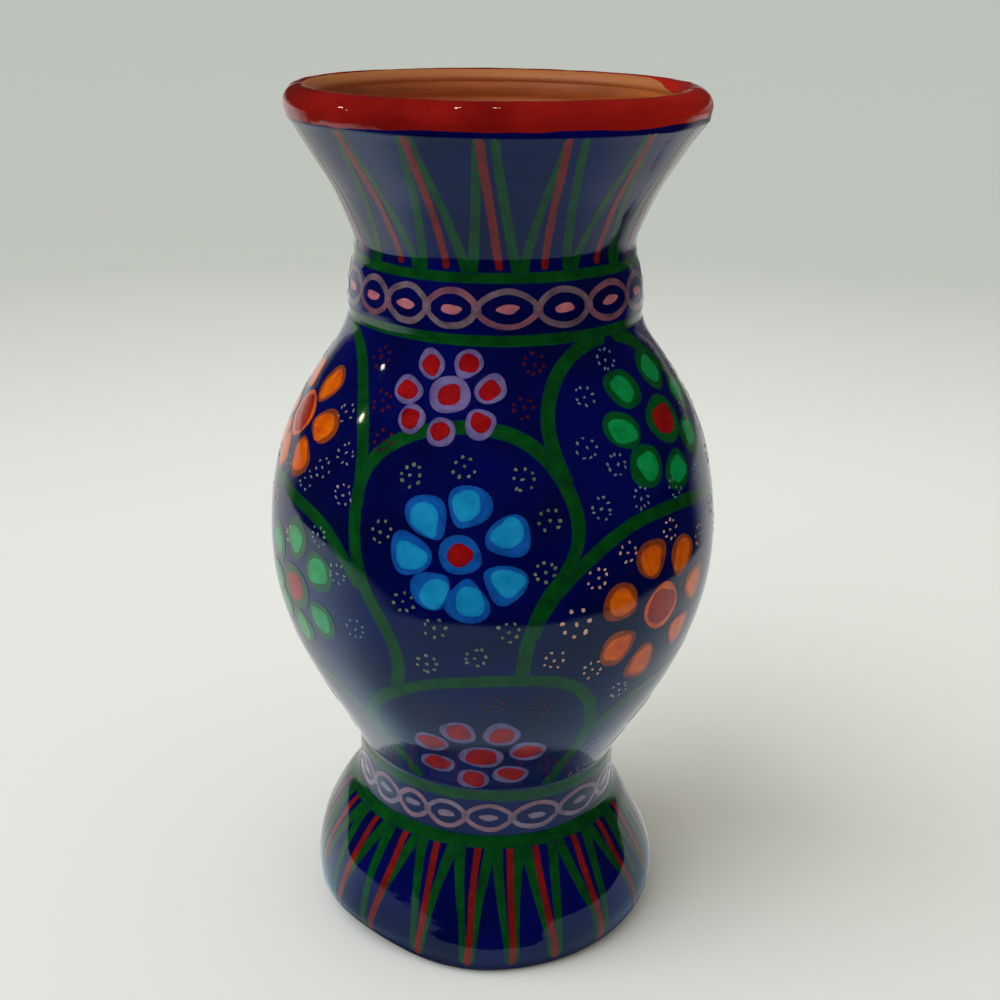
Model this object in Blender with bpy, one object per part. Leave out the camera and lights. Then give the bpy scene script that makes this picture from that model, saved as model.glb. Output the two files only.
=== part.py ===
# Painted terracotta vase, modelled as the potter puts it together: a hollow flared foot, an egg-shaped
# body, a flared neck and a rolled rim coil, luted with slip, with a clay collar round each of the two seams.
# Units are metres, +Z is up, and the origin is at the centre of the ring that the vase stands on.

import math

import bmesh
import bpy

# Joints between the clay sections
SLIP = 0.0006                    # fired thickness of the slip in a joint
JOINT_GAP = 0.0003               # clearance on each side of the slip, and under a seated collar
SEAM = SLIP + 2 * JOINT_GAP      # clay face to clay face across a luted joint

# Foot: a bell-shaped hollow skirt
FOOT_HEIGHT = 0.0410             # stand face to the seat that carries the body
FOOT_SKIRT_RADIUS = 0.0515       # widest point of the skirt
FOOT_SKIRT_HEIGHT = 0.0090       # height of that widest point
FOOT_STAND_RADIUS = 0.0465       # outer edge of the stand face
FOOT_STAND_WIDTH = 0.0055        # width of the stand face
FOOT_WALL = 0.0075               # wall at the top of the skirt
FOOT_FLARE_SLOPE = -0.405        # radius lost per unit of height where the skirt meets the collar

# Foot collar: a clay strap round the seam between foot and body
FOOT_COLLAR_HEIGHT = 0.0132
FOOT_COLLAR_THICKNESS = 0.0028
FOOT_COLLAR_BULGE = 0.0004       # how far its face swells at mid height

# Body: an egg-shaped pot with a spigot at each end
LOWER_SPIGOT_RADIUS = 0.0340     # stub below the belly, inside the foot collar
BODY_STEP = 0.0008               # how far the belly stands out over the foot collar
BELLY_RADIUS = 0.0624            # widest point of the vase
LOWER_FLANK_RISE = 0.0632        # from the foot collar up to the widest point
UPPER_FLANK_RISE = 0.0630        # from the widest point up to the neck collar
LOWER_FLANK_SLOPE = 0.267        # radius gained per unit of height just above the foot collar
SHOULDER_SLOPE = -0.194          # radius lost per unit of height just below the neck collar
SHOULDER_STEP = 0.0004           # how far the shoulder stands out under the neck collar
UPPER_SPIGOT_RADIUS = 0.0350     # stub above the shoulder, inside the neck collar
UPPER_SPIGOT_HEIGHT = 0.0050
BODY_WALL = 0.0065
BODY_FLOOR = 0.0080

# Neck collar: a clay strap round the seam between body and neck
NECK_COLLAR_HEIGHT = 0.0160
NECK_COLLAR_FOOT_THICKNESS = 0.0030
NECK_COLLAR_TOP_THICKNESS = 0.0014
NECK_COLLAR_BULGE = 0.0010

# Neck: a trumpet flare
NECK_WALL = 0.0060               # wall at the throat
NECK_WAIST_RISE = 0.0039         # from the collar up to the narrowest point
NECK_WAIST_DEPTH = 0.0004        # how far that point draws in from the collar's top edge
NECK_FLARE_RISE = 0.0287         # from the narrowest point up to the rim's seat
NECK_FLARE_SLOPE = 0.60          # radius gained per unit of height at the rim

# Rim: a rolled coil, oval in section, flat where it is seated on the neck
RIM_RADIUS = 0.0496              # centre of the coil
RIM_HALF_WIDTH = 0.0046
RIM_HEIGHT = 0.0086              # seat to crest
RIM_CENTRE_RISE = 0.0036         # seat to the coil's centre

# Facets
SEGMENTS = 48                    # round the vase
FLANK_ROWS = 10                  # along a long curve
SHORT_ROWS = 6                   # along a short curve
COIL_ROWS = 16                   # round the rim coil
SHARP_EDGE = math.radians(40)    # edges that turn by more than this are shaded sharp
SAME_POINT = 1e-6                # points closer than this are one point

# Reach of the curves' end handles, as a share of each curve's rise
FOOT_REACH = (0.313, 0.330)
FOOT_HOLLOW_REACH = (0.34, 0.32)
LOWER_FLANK_REACH = (0.165, 0.500)
UPPER_FLANK_REACH = (0.634, 0.212)
CAVITY_TOP_REACH = (0.540, 0.240)
CAVITY_BOTTOM_REACH = (0.480, 0.540)
NECK_REACH = (0.256, 0.328)
NECK_BORE_REACH = (0.520, 0.240)
NECK_BORE_SLOPE = 0.68           # radius gained per unit of height inside the mouth

# Heights of the joints, from the foot up
foot_seat = FOOT_HEIGHT
body_bottom = foot_seat + SEAM
foot_collar_bottom = foot_seat + JOINT_GAP
foot_collar_top = foot_collar_bottom + FOOT_COLLAR_HEIGHT
lower_ledge = foot_collar_top + JOINT_GAP
belly_height = lower_ledge + LOWER_FLANK_RISE
upper_ledge = belly_height + UPPER_FLANK_RISE
body_top = upper_ledge + UPPER_SPIGOT_HEIGHT
neck_bottom = body_top + SEAM
neck_collar_bottom = upper_ledge + JOINT_GAP
neck_collar_top = neck_collar_bottom + NECK_COLLAR_HEIGHT
neck_ledge = neck_collar_top + JOINT_GAP
neck_waist = neck_ledge + NECK_WAIST_RISE
neck_top = neck_waist + NECK_FLARE_RISE
rim_seat = neck_top + SEAM

# Radii that two pieces share at a joint
foot_collar_inner = LOWER_SPIGOT_RADIUS + SEAM
foot_collar_outer = foot_collar_inner + FOOT_COLLAR_THICKNESS
foot_bore = foot_collar_outer - FOOT_WALL
neck_collar_inner = UPPER_SPIGOT_RADIUS + SEAM
neck_collar_foot = neck_collar_inner + NECK_COLLAR_FOOT_THICKNESS
neck_collar_edge = neck_collar_inner + NECK_COLLAR_TOP_THICKNESS
throat = UPPER_SPIGOT_RADIUS - NECK_WALL
coil_half_height = RIM_HEIGHT - RIM_CENTRE_RISE
coil_seat_angle = -math.asin(RIM_CENTRE_RISE / coil_half_height)
rim_seat_half_width = RIM_HALF_WIDTH * math.cos(coil_seat_angle)
rim_seat_inner = RIM_RADIUS - rim_seat_half_width
rim_seat_outer = RIM_RADIUS + rim_seat_half_width

# Colours of the finished surfaces, linear RGB
COBALT_PAINT = (0.006, 0.008, 0.080)
RED_PAINT = (0.230, 0.008, 0.006)
SLIP_CLAY = (0.420, 0.160, 0.070)


def clear_scene():
    for obj in list(bpy.data.objects):
        bpy.data.objects.remove(obj)


def painted(name, colour, roughness):
    material = bpy.data.materials.new(name)
    material.use_nodes = True
    shader = material.node_tree.nodes["Principled BSDF"]
    shader.inputs["Base Color"].default_value = (*colour, 1.0)
    shader.inputs["Roughness"].default_value = roughness
    shader.inputs["Metallic"].default_value = 0.0
    return material


def curve(start, handle, end_handle, end, rows):
    """Points of a cubic curve from start to end, both ends included, each point (radius, height)."""
    points = []
    for row in range(rows + 1):
        t = row / rows
        weights = ((1 - t) ** 3, 3 * t * (1 - t) ** 2, 3 * t ** 2 * (1 - t), t ** 3)
        points.append(tuple(
            sum(w * p[axis] for w, p in zip(weights, (start, handle, end_handle, end)))
            for axis in (0, 1)
        ))
    return points


def flank(low, high, low_slope, high_slope, reach, rows):
    """A rising wall from low to high that leaves each end at its slope, in radius per unit of height."""
    rise = high[1] - low[1]
    low_reach, high_reach = reach[0] * rise, reach[1] * rise
    low_handle = (low[0] + low_slope * low_reach, low[1] + low_reach)
    high_handle = (high[0] - high_slope * high_reach, high[1] - high_reach)
    return curve(low, low_handle, high_handle, high, rows)


def oval_arc(centre, half_width, half_height, first, last, rows):
    """Points on an upright oval, from the angle first to the angle last."""
    angles = [first + (last - first) * row / rows for row in range(rows + 1)]
    return [(centre[0] + half_width * math.cos(a), centre[1] + half_height * math.sin(a)) for a in angles]


def swollen(low, high, bulge, rows):
    """A collar's face from low to high, swelling by bulge at mid height."""
    points = []
    for row in range(rows + 1):
        t = row / rows
        radius = low[0] + (high[0] - low[0]) * t + 4 * bulge * t * (1 - t)
        points.append((radius, low[1] + (high[1] - low[1]) * t))
    return points


def joined(*runs):
    """One outline from several runs of points, with the points that two runs share kept once."""
    points = []
    for run in runs:
        for point in run:
            if not points or math.dist(points[-1], point) > SAME_POINT:
                points.append(point)
    if math.dist(points[0], points[-1]) < SAME_POINT:
        points.pop()
    return points


def turned(name, outline, material, closed=True):
    """A solid of revolution: the outline, in (radius, height), swept once round the Z axis."""
    mesh = bmesh.new()
    verts = [mesh.verts.new((radius, 0.0, height)) for radius, height in outline]
    edges = [mesh.edges.new(pair) for pair in zip(verts, verts[1:])]
    if closed:
        edges.append(mesh.edges.new((verts[-1], verts[0])))
    bmesh.ops.spin(
        mesh, geom=verts + edges, cent=(0, 0, 0), axis=(0, 0, 1), dvec=(0, 0, 0),
        angle=2 * math.pi, steps=SEGMENTS, use_duplicate=False,
    )
    bmesh.ops.remove_doubles(mesh, verts=mesh.verts[:], dist=SAME_POINT)
    bmesh.ops.recalc_face_normals(mesh, faces=mesh.faces[:])
    data = bpy.data.meshes.new(name)
    mesh.to_mesh(data)
    mesh.free()
    data.materials.append(material)
    data.shade_smooth()
    data.set_sharp_from_angle(angle=SHARP_EDGE)
    obj = bpy.data.objects.new(name, data)
    bpy.context.scene.collection.objects.link(obj)
    return obj


def ring(name, inner, outer, bottom, top, material):
    """A plain ring of rectangular section, such as the slip in a joint."""
    return turned(name, [(inner, bottom), (outer, bottom), (outer, top), (inner, top)], material)


def make_foot(material):
    skirt = flank(
        (FOOT_SKIRT_RADIUS, FOOT_SKIRT_HEIGHT), (foot_collar_outer, foot_seat),
        0.0, FOOT_FLARE_SLOPE, FOOT_REACH, FLANK_ROWS,
    )
    toe = oval_arc(
        (FOOT_STAND_RADIUS, FOOT_SKIRT_HEIGHT), FOOT_SKIRT_RADIUS - FOOT_STAND_RADIUS,
        FOOT_SKIRT_HEIGHT, -math.pi / 2, 0.0, SHORT_ROWS,
    )
    hollow = flank(
        (FOOT_STAND_RADIUS - FOOT_STAND_WIDTH, 0.0), (foot_bore, foot_seat),
        0.0, FOOT_FLARE_SLOPE, FOOT_HOLLOW_REACH, FLANK_ROWS,
    )
    return turned("foot", joined(toe, skirt, reversed(hollow)), material)


def make_foot_collar(material):
    face = swollen(
        (foot_collar_outer, foot_collar_bottom), (foot_collar_outer, foot_collar_top),
        FOOT_COLLAR_BULGE, SHORT_ROWS,
    )
    back = [(foot_collar_inner, foot_collar_top), (foot_collar_inner, foot_collar_bottom)]
    return turned("foot_collar", joined(face, back), material)


def make_body(material):
    base = [(0.0, body_bottom), (LOWER_SPIGOT_RADIUS, body_bottom), (LOWER_SPIGOT_RADIUS, lower_ledge)]
    belly = (BELLY_RADIUS, belly_height)
    lower = flank(
        (foot_collar_outer + BODY_STEP, lower_ledge), belly,
        LOWER_FLANK_SLOPE, 0.0, LOWER_FLANK_REACH, FLANK_ROWS,
    )
    upper = flank(
        belly, (neck_collar_foot + SHOULDER_STEP, upper_ledge),
        0.0, SHOULDER_SLOPE, UPPER_FLANK_REACH, FLANK_ROWS,
    )
    spigot = [(UPPER_SPIGOT_RADIUS, upper_ledge), (UPPER_SPIGOT_RADIUS, body_top), (throat, body_top)]
    widest_inside = (BELLY_RADIUS - BODY_WALL, belly_height)
    cavity_top = flank(
        widest_inside, (throat, body_top), 0.0, SHOULDER_SLOPE, CAVITY_TOP_REACH, FLANK_ROWS,
    )
    floor = body_bottom + BODY_FLOOR
    depth = belly_height - floor
    cavity_bottom = curve(
        widest_inside, (widest_inside[0], belly_height - CAVITY_BOTTOM_REACH[0] * depth),
        (CAVITY_BOTTOM_REACH[1] * widest_inside[0], floor), (0.0, floor), FLANK_ROWS,
    )
    outline = joined(base, lower, upper, spigot, reversed(cavity_top), cavity_bottom)
    return turned("body", outline, material, closed=False)


def make_neck_collar(material):
    face = swollen(
        (neck_collar_foot, neck_collar_bottom), (neck_collar_edge, neck_collar_top),
        NECK_COLLAR_BULGE, SHORT_ROWS,
    )
    back = [(neck_collar_inner, neck_collar_top), (neck_collar_inner, neck_collar_bottom)]
    return turned("neck_collar", joined(face, back), material)


def make_neck(material):
    waist = (neck_collar_edge - NECK_WAIST_DEPTH, neck_waist)
    stub = [(throat, neck_bottom), (UPPER_SPIGOT_RADIUS, neck_bottom), (UPPER_SPIGOT_RADIUS, neck_ledge)]
    flare = flank(waist, (rim_seat_outer, neck_top), 0.0, NECK_FLARE_SLOPE, NECK_REACH, FLANK_ROWS)
    bore = flank(
        (throat, neck_bottom), (rim_seat_inner, neck_top), 0.0, NECK_BORE_SLOPE, NECK_BORE_REACH, FLANK_ROWS,
    )
    return turned("neck", joined(stub, [(neck_collar_edge, neck_ledge)], flare, reversed(bore)), material)


def make_rim(material):
    section = oval_arc(
        (RIM_RADIUS, rim_seat + RIM_CENTRE_RISE), RIM_HALF_WIDTH, coil_half_height,
        coil_seat_angle, math.pi - coil_seat_angle, COIL_ROWS,
    )
    return turned("rim", section, material)


def make_slip(material):
    """The slip that lutes the sections: flat rings in the butt joints, sleeves behind the collars."""
    slip_low, slip_high = JOINT_GAP, JOINT_GAP + SLIP
    ring("foot_slip", foot_bore, LOWER_SPIGOT_RADIUS, foot_seat + slip_low, foot_seat + slip_high, material)
    ring("neck_slip", throat, UPPER_SPIGOT_RADIUS, body_top + slip_low, body_top + slip_high, material)
    ring("rim_slip", rim_seat_inner, rim_seat_outer, neck_top + slip_low, neck_top + slip_high, material)
    ring(
        "foot_collar_slip", LOWER_SPIGOT_RADIUS + slip_low, LOWER_SPIGOT_RADIUS + slip_high,
        foot_collar_bottom, foot_collar_top, material,
    )
    ring(
        "neck_collar_slip", UPPER_SPIGOT_RADIUS + slip_low, UPPER_SPIGOT_RADIUS + slip_high,
        neck_collar_bottom, neck_collar_top, material,
    )


def main():
    clear_scene()
    cobalt = painted("cobalt_paint", COBALT_PAINT, 0.12)
    red = painted("red_paint", RED_PAINT, 0.15)
    slip = painted("slip", SLIP_CLAY, 0.85)
    make_foot(cobalt)
    make_foot_collar(cobalt)
    make_body(cobalt)
    make_neck_collar(cobalt)
    make_neck(cobalt)
    make_rim(red)
    make_slip(slip)


main()
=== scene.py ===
# Looks of a hand-painted terracotta vase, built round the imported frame.
# Lengths are metres, motifs are drawn in millimetres, and angles are degrees round the axis from the front.
import bpy
import random
from bisect import bisect_right
from functools import partial
from math import atan2, cos, degrees, exp, hypot, pi, radians, sin, sqrt, tan
from mathutils import Matrix, Vector
from mathutils.noise import noise


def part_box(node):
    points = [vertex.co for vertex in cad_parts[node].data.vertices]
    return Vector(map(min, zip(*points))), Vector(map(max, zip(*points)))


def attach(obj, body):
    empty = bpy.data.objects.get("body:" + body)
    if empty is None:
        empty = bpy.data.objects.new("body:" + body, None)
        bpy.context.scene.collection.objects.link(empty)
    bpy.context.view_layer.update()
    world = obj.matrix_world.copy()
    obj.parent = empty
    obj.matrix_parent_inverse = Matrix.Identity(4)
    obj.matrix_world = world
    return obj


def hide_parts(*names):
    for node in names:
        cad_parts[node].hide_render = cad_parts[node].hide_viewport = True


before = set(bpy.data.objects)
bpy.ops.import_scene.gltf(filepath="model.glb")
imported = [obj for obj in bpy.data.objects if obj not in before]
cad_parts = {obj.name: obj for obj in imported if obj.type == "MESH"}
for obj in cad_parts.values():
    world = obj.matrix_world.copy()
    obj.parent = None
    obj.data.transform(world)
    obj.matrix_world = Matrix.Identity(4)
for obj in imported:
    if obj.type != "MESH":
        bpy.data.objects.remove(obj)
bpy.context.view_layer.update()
mm = 0.001
dice = random.Random(7)  # one seeded source for every hand-made wobble
print("frame loaded:", len(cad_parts), "nodes")


# Camera at the photograph's place

photoView = dict(
    distance=0.3722,  # from the vase's axis
    height=0.2700,  # above the surface that the vase stands on
    pitch=21.19,  # looking down
    yaw=0.31,
    roll=0.79,
    focalPixels=1399.7,
    imagePixels=1000,
    sensor=36.0,
)


def placeCamera():
    pitch, yaw, roll = (radians(photoView[key]) for key in ("pitch", "yaw", "roll"))
    forward = Vector((sin(yaw) * cos(pitch), cos(yaw) * cos(pitch), -sin(pitch)))
    right = forward.cross(Vector((0, 0, 1))).normalized()
    up = right.cross(forward)
    across = right * cos(roll) + up * sin(roll)
    upright = up * cos(roll) - right * sin(roll)
    bpy.ops.object.camera_add(location=(0, -photoView["distance"], photoView["height"]))
    camera = bpy.context.object
    camera.rotation_euler = Matrix((across, upright, -forward)).transposed().to_euler()
    camera.data.sensor_width = photoView["sensor"]
    camera.data.lens = photoView["sensor"] * photoView["focalPixels"] / photoView["imagePixels"]
    camera.data.clip_start = 0.01
    bpy.context.scene.camera = camera


placeCamera()
print("camera placed")


# Small helpers

def pickNothing():
    bpy.ops.object.select_all(action="DESELECT")


def pickOnly(piece):
    pickNothing()
    piece.select_set(True)
    bpy.context.view_layer.objects.active = piece


def toLinear(hexColour):
    parts = [int(hexColour[i:i + 2], 16) / 255 for i in (1, 3, 5)]
    return [p / 12.92 if p <= 0.04045 else ((p + 0.055) / 1.055) ** 2.4 for p in parts] + [1.0]


def setInputs(node, inputs):
    # inputs are named or in the node's own order: a socket is linked, a hex colour is turned to linear,
    # and any other value is set as it is
    for name, value in inputs.items() if isinstance(inputs, dict) else enumerate(inputs):
        if isinstance(value, bpy.types.NodeSocket):
            node.id_data.links.new(value, node.inputs[name])
        else:
            node.inputs[name].default_value = toLinear(value) if isinstance(value, str) else value


def addNode(tree, kind, inputs=(), **settings):
    # adds a node and gives back the socket of its result
    made = tree.nodes.new("ShaderNode" + kind)
    for name, value in settings.items():
        setattr(made, name, value)
    setInputs(made, inputs)
    return made.outputs[2 if settings.get("data_type") == "RGBA" else 0]


def newMaterial(name):
    material = bpy.data.materials.new(name)
    material.use_nodes = True
    add = partial(addNode, material.node_tree)
    coords = add("TexCoord").node.outputs["Object"]
    return material, add, material.node_tree.nodes["Principled BSDF"], coords


def softStep(low, high, value):
    t = min(max((value - low) / (high - low), 0), 1)
    return t * t * (3 - 2 * t)


def pointing(angle):
    return Vector((cos(radians(angle)), sin(radians(angle))))


def throughPoints(points, count):
    # a smooth line through a few points, as count + 1 points
    padded = [points[0]] + list(points) + [points[-1]]
    line = []
    for i in range(count + 1):
        place = i / count * (len(points) - 1)
        part = min(int(place), len(points) - 2)
        t = place - part
        a, b, c, d = (Vector(p) for p in padded[part:part + 4])
        line.append(0.5 * (2 * b + (c - a) * t + (2 * a - 5 * b + 4 * c - d) * t ** 2
                           + (3 * b - a - 3 * c + d) * t ** 3))
    return line


# Materials. A MapRange takes a value, the span that it is read over and the span that it becomes

ground = dict(deep="#00032d", body="#01054a", scuff="#161d52")
varnishIor = 1.5


def varnishRipple(add, coords):
    # clear varnish flows out almost flat: a slow ripple from the throwing and a finer one from the brush
    flattened = add("Mapping", {"Vector": coords, "Scale": (1, 1, 4)})
    slow = add("TexNoise", {"Vector": flattened, "Scale": 1 / (24 * mm), "Detail": 2.0})
    fine = add("TexNoise", {"Vector": coords, "Scale": 1 / (5 * mm), "Detail": 3.0})
    first = add("Bump", {"Height": slow, "Strength": 1.0, "Distance": 0.06 * mm})
    return add("Bump", {"Height": fine, "Normal": first, "Strength": 1.0, "Distance": 0.012 * mm})


def cobaltEnamel():
    # oil enamel brushed over fired clay and varnished: deep blue, nearly black in shade, wet to the eye
    material, add, shader, coords = newMaterial("cobalt_enamel")
    patches = add("TexNoise", {"Vector": coords, "Scale": 1 / (30 * mm), "Detail": 4.0})
    brushed = add("Mapping", {"Vector": coords, "Scale": (1, 1, 7)})
    streaks = add("TexNoise", {"Vector": brushed, "Scale": 1 / (9 * mm), "Detail": 5.0})
    depth = add("MapRange", [patches, 0.35, 0.65])
    base = add("Mix", {0: depth, 6: ground["deep"], 7: ground["body"]}, data_type="RGBA")
    worn = add("MapRange", [streaks, 0.62, 0.85, 0, 0.3])
    coloured = add("Mix", {0: worn, 6: base, 7: ground["scuff"]}, data_type="RGBA")
    gloss = add("MapRange", [streaks, 0.3, 0.8, 0.03, 0.09])
    setInputs(shader, {"Base Color": coloured, "Roughness": gloss, "IOR": varnishIor,
                       "Normal": varnishRipple(add, coords)})
    return material


def brushedEnamel(name, rich, light, thin):
    # enamel laid on with a small round brush: streaks run along the stroke, and its edges show the ground
    material, add, shader, coords = newMaterial(name)
    stroke = add("UVMap", uv_map="brush")
    along = add("Mapping", {"Vector": stroke, "Scale": (1 / 14, 1 / 0.9, 1)})
    hairs = add("TexNoise", {"Vector": along, "Scale": 1.0, "Detail": 4.0})
    pools = add("TexNoise", {"Vector": coords, "Scale": 1 / (4 * mm), "Detail": 3.0})
    both = add("Math", [hairs, 0.5, pools], operation="MULTIPLY_ADD")
    tone = add("MapRange", [both, 0.5, 1.0])
    paint = add("Mix", {0: tone, 6: rich, 7: light}, data_type="RGBA")
    edge = add("Attribute", attribute_name="edge").node.outputs["Fac"]
    frayed = add("Math", [both, -0.35, edge], operation="MULTIPLY_ADD")
    cover = add("MapRange", [frayed, 0.50, 0.82, 0, thin])
    coloured = add("Mix", {0: cover, 6: paint, 7: ground["body"]}, data_type="RGBA")
    gloss = add("MapRange", [both, 0.45, 1.05, 0.03, 0.08])
    setInputs(shader, {"Base Color": coloured, "Roughness": gloss, "IOR": varnishIor,
                       "Normal": varnishRipple(add, coords)})
    return material


def redEnamel():
    # thick red enamel that rounds over the rolled lip, painted lighter towards the right, where more light
    # falls on it
    material, add, shader, coords = newMaterial("red_enamel")
    pools = add("TexNoise", {"Vector": coords, "Scale": 1 / (14 * mm), "Detail": 4.0})
    tone = add("MapRange", [pools, 0.35, 0.65])
    paint = add("Mix", {0: tone, 6: "#680a08", 7: "#84120d"}, data_type="RGBA")
    axes = add("SeparateXYZ", [coords]).node.outputs
    # painted light: the red turns brighter and warmer towards the right end of the rim
    right = add("MapRange", [axes["X"], 20 * mm, 50 * mm, 0, 0.8])
    paintedRightLight = add("Mix", {0: right, 6: paint, 7: "#b01d12"}, data_type="RGBA")
    lumps = add("TexNoise", {"Vector": coords, "Scale": 1 / (4 * mm), "Detail": 3.0})
    bump = add("Bump", {"Height": lumps, "Strength": 1.0, "Distance": 0.12 * mm})
    setInputs(shader, {"Base Color": paintedRightLight, "Normal": bump, "Roughness": 0.05, "IOR": varnishIor})
    return material


def redClay():
    # low-fired red earthenware with fine grit: brown, with painted light that makes it paler on the lip and
    # orange lower inside
    material, add, shader, coords = newMaterial("red_clay")
    flattened = add("Mapping", {"Vector": coords, "Scale": (1, 1, 8)})
    rings = add("TexNoise", {"Vector": flattened, "Scale": 1 / (30 * mm), "Detail": 5.0})
    tone = add("MapRange", [rings, 0.3, 0.7])
    body = add("Mix", {0: tone, 6: "#74340c", 7: "#a0521c"}, data_type="RGBA")
    height = add("SeparateXYZ", [coords]).node.outputs["Z"]
    # painted light: lighter and more orange lower inside the mouth, standing in for light that reaches down
    # there
    sunk = add("MapRange", [height, 235 * mm, 224 * mm, 0, 0.9])
    deep = add("Mix", {0: sunk, 6: body, 7: "#cc6c3c"}, data_type="RGBA")
    # painted highlight: the clay is paler high on the lip, where light falls from above
    lipLightShare = add("MapRange", [height, 236.2 * mm, 238.6 * mm, 0, 0.8])
    paintedLipLight = add("Mix", {0: lipLightShare, 6: deep, 7: "#a8683a"}, data_type="RGBA")
    grit = add("TexNoise", {"Vector": coords, "Scale": 1 / (0.7 * mm), "Detail": 2.0})
    specks = add("MapRange", [grit, 0.58, 0.72, 0, 0.3])
    coloured = add("Mix", {0: specks, 6: paintedLipLight, 7: "#5a2f1a"}, data_type="RGBA")
    bump = add("Bump", {"Height": grit, "Strength": 0.6, "Distance": 0.08 * mm})
    setInputs(shader, {"Base Color": coloured, "Normal": bump, "Roughness": 0.42, "IOR": varnishIor})
    return material


def driedSlip():
    # slip fired with the pot: the same clay, finer, paler and quite matt
    material, add, shader, coords = newMaterial("dried_slip")
    cloud = add("TexNoise", {"Vector": coords, "Scale": 1 / (3 * mm), "Detail": 4.0})
    body = add("Mix", {0: cloud, 6: "#8a5230", 7: "#b87a50"}, data_type="RGBA")
    setInputs(shader, {"Base Color": body, "Roughness": 0.85})
    return material


clayLook, slipLook, groundLook, rimLook = redClay(), driedSlip(), cobaltEnamel(), redEnamel()
# where the paint is thick, where it is brushed out, and how much of the ground its edges let through
paints = {name: brushedEnamel(name + "_enamel", *looks) for name, looks in dict(
    leaf_green=("#022c0c", "#054214", 0.45),
    signal_red=("#520b09", "#74130e", 0.45),
    sky_blue=("#0a6c9d", "#157fb0", 0.15),
    sea_blue=("#083c80", "#0c4f9c", 0.3),
    crimson=("#6c0406", "#900d10", 0.25),
    lilac=("#4e436a", "#6a5d8c", 0.3),
    emerald=("#036e33", "#098a48", 0.2),
    bottle_green=("#003a10", "#024c18", 0.35),
    apricot=("#ac3e02", "#d06203", 0.25),
    rust=("#662a02", "#8a3e04", 0.3),
    brick=("#7a1408", "#94220e", 0.25),
    mauve=("#4c3242", "#7a4a56", 0.35),
    taupe=("#453640", "#6e5a64", 0.35),
    faded_rose=("#5e4656", "#7a5c6c", 0.3),
    dusk_pink=("#8a4a56", "#b06870", 0.3),
    stone=("#62565c", "#948280", 0.3),
    pale_mauve=("#54465c", "#7a6a80", 0.4),
    olive=("#3c4a38", "#6c7a60", 0.2),
    peach=("#8a6a58", "#c8a08a", 0.2),
    pale_mint=("#42585e", "#688086", 0.25),
    maroon=("#2e0a18", "#4a1018", 0.35),
).items()}
print("materials mixed:", len(bpy.data.materials))


# Sections of the clay, read from the frame

def cadOutline(nodeName):
    # the node's section at +X as a closed chain of (radius, height), in order
    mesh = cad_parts[nodeName].data
    links = {}
    for a, b in mesh.edge_keys:
        ends = [mesh.vertices[i].co for i in (a, b)]
        if all(abs(end.y) < 1e-6 and end.x > -1e-6 for end in ends):
            first, second = ((round(abs(end.x), 6), round(end.z, 6)) for end in ends)
            if first != second:
                links.setdefault(first, set()).add(second)
                links.setdefault(second, set()).add(first)
    start = min(links, key=lambda p: (len(links[p]), p[1], p[0]))
    chain, behind = [start], None
    while True:
        onward = [p for p in sorted(links[chain[-1]]) if p != behind]
        if not onward or onward[-1] == start:
            return chain
        behind = chain[-1]
        chain.append(onward[-1])


outlines = {name: cadOutline(name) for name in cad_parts}
clayNodes = ["foot", "foot_collar", "body", "neck_collar", "neck", "rim"]
slipNodes = [name for name in outlines if name not in clayNodes]
rimCrest = max(outlines["rim"], key=lambda p: p[1])[0]


def finePoints(outline, spacing, cornerAngle=32):
    # a closed outline with points at a closer spacing, curved between its corners
    points = [Vector(p) for p in outline]
    count = len(points)
    sharp = []
    for i in range(count):
        before, after = points[i] - points[i - 1], points[(i + 1) % count] - points[i]
        if degrees(before.angle(after)) > cornerAngle:
            sharp.append(i)
    sharp = sharp or [0]
    fine = []
    for first, last in zip(sharp, sharp[1:] + [sharp[0] + count]):
        run = [points[i % count] for i in range(first, last + 1)]
        length = sum((b - a).length for a, b in zip(run, run[1:]))
        fine += throughPoints(run, max(int(length / spacing), len(run) - 1))[:-1]
    return [(max(p.x, 0), max(p.y, 0)) for p in fine]


claySpacing = 1.4 * mm
lipSpacing = 0.5 * mm  # closer on the rim, for the groove inside it
claySections = {}
for name in clayNodes:
    corners = list(outlines[name])
    if corners[-1][0] == 0:
        corners.insert(0, (0.0, corners[0][1]))  # the closed bottom of the body starts on the axis
    claySections[name] = finePoints(corners, lipSpacing if name == "rim" else claySpacing)


# The painted wall: the outside radius at every wallStep of height

wallStep = 0.25 * mm
wallTop = 0.2355  # the widest line of the rim
rounding = dict(
    seamReach=10,  # steps up and down in which a seam shows as a dip
    seamDip=0.93,
    reach=3,  # steps up and down over which paint rounds a corner
    wideReach=10,  # and more round the lower strap's edge
    wideFrom=37 * mm, wideTo=45 * mm,
    bottomSteps=12, topSteps=4,  # left as they are at both ends
    underRim=0.4 * mm,  # paint bridges the hollow under the rim from here below the slip
)


def widestAt(height):
    widest = 0.0
    for section in claySections.values():
        for (r1, h1), (r2, h2) in zip(section, section[1:] + section[:1]):
            if min(h1, h2) <= height <= max(h1, h2) and h1 != h2:
                widest = max(widest, r1 + (r2 - r1) * (height - h1) / (h2 - h1))
    return widest


def bridgeHollow(radii, low, high):
    # thick paint spans a hollow: the outer hull of the wall between two heights
    hull = []
    for i in range(int(low / wallStep), int(high / wallStep) + 1):
        while len(hull) > 1:
            a, b = hull[-2:]
            if (radii[b] - radii[a]) * (i - b) > (radii[i] - radii[b]) * (b - a):
                break
            hull.pop()
        hull.append(i)
    for a, b in zip(hull, hull[1:]):
        for i in range(a, b):
            radii[i] = radii[a] + (radii[b] - radii[a]) * (i - a) / (b - a)


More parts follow.
